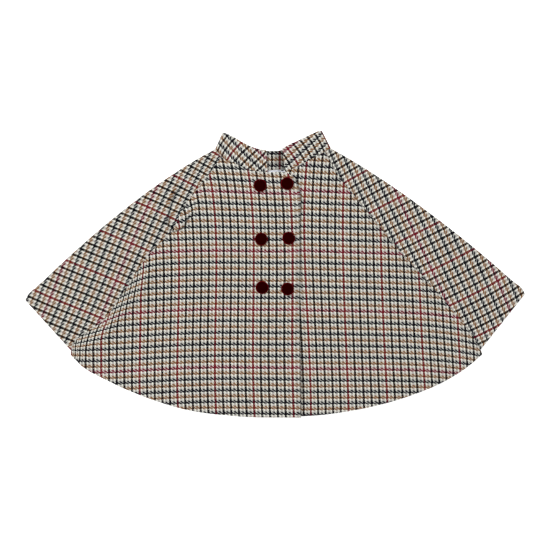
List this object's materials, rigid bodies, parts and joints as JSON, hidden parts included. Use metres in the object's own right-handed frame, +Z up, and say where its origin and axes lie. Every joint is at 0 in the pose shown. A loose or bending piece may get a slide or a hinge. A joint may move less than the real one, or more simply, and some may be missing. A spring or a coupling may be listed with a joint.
{
  "type": "child's double-breasted cape, laid flat",
  "caption": "Child's double-breasted checked wool cape with stand collar, raglan side panels and velvet-covered buttons, laid flat with its front up.",
  "frame": {"origin": "on the surface that the cape lies on, under the middle of its overall box", "axes": "+X to the wearer's left (the picture's right), +Y towards the head, +Z up out of the front"},
  "size_m": [0.725, 0.417, 0.0138],
  "materials": {
    "checked_wool": "matt woollen twill in a cream, black, navy and tan check with a red overcheck",
    "burgundy_velvet": "short-pile velvet, very dark burgundy, with a soft rim sheen",
    "pale_satin": "pale bluish satin with a soft sheen"
  },
  "bodies": {
    "root": {"front_right": "checked_wool", "front_left": "checked_wool", "side_right": "checked_wool", "side_left": "checked_wool", "back": "checked_wool", "collar": "checked_wool", "neck_lining": "pale_satin", "button_1_right": "burgundy_velvet", "button_1_left": "burgundy_velvet", "button_2_right": "burgundy_velvet", "button_2_left": "burgundy_velvet", "button_3_right": "burgundy_velvet", "button_3_left": "burgundy_velvet"}
  },
  "joints": []
}
